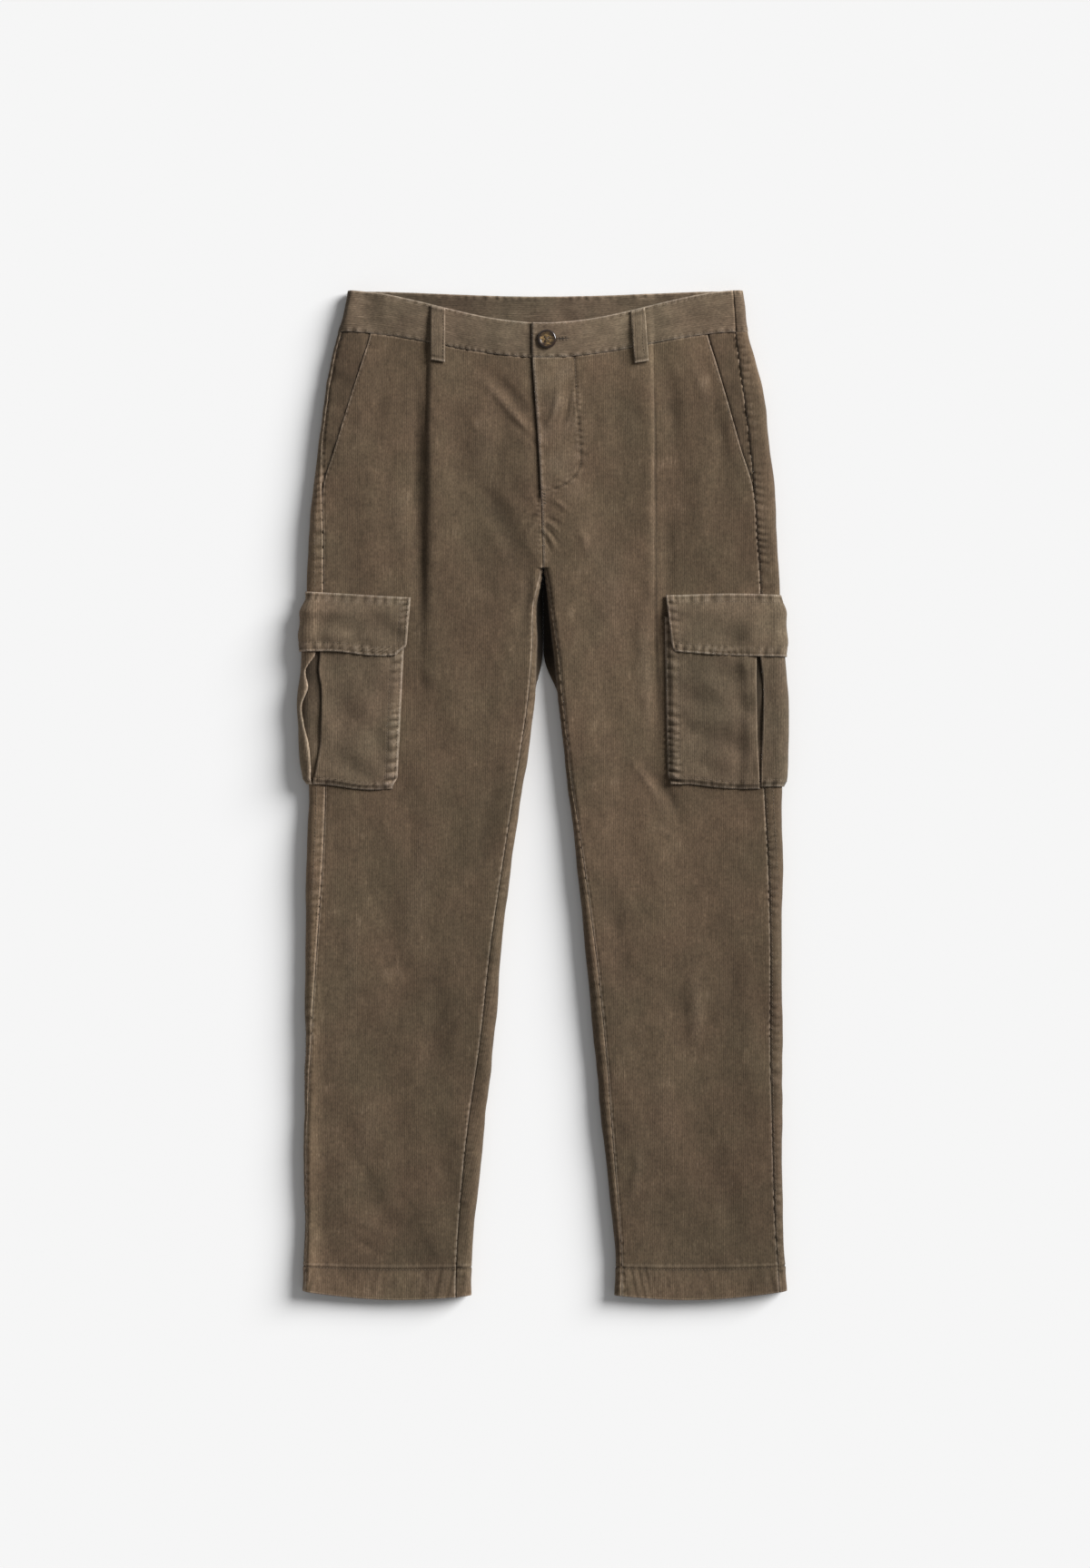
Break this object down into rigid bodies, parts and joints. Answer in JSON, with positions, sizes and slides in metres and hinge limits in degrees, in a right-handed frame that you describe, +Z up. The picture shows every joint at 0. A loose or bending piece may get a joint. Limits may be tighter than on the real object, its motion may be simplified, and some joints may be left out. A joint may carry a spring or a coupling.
{
  "type": "corduroy trousers",
  "caption": "Laid-flat corduroy cargo trousers with pleated front, buttoned waistband with belt loops, slash pockets and flapped bellows pockets on the legs.",
  "frame": {"origin": "centre of the underside's bounding box, on the surface that the trousers lie on", "axes": "+Y from the hems to the waist, +Z up from the surface out of the front, +X to the viewer's right when the front faces up"},
  "size_m": [0.5129, 1.0533, 0.0259],
  "materials": {
    "corduroy": "fine-wale cotton corduroy, olive brown, worn lighter at seams and edges",
    "zip_tape": "woven zip tape with closed teeth, dark brown",
    "horn": "polished horn effect, dark brown with amber streaks"
  },
  "bodies": {
    "root": {"front_left": "corduroy", "back_left": "corduroy", "pocket_facing_left": "corduroy", "waistband_front_left": "corduroy", "pocket_left_front": "corduroy", "pocket_left_side": "corduroy", "pocket_left_pleat": "corduroy", "flap_left": "corduroy", "front_right": "corduroy", "back_right": "corduroy", "pocket_facing_right": "corduroy", "waistband_front_right": "corduroy", "pocket_right_front": "corduroy", "pocket_right_side": "corduroy", "pocket_right_pleat": "corduroy", "flap_right": "corduroy", "waistband_back": "corduroy", "belt_loop_front_left": "corduroy", "belt_loop_front_right": "corduroy", "belt_loop_back_left": "corduroy", "belt_loop_back_centre": "corduroy", "belt_loop_back_right": "corduroy", "fly_shield": "corduroy", "zip": "zip_tape", "button": "horn"}
  },
  "joints": []
}
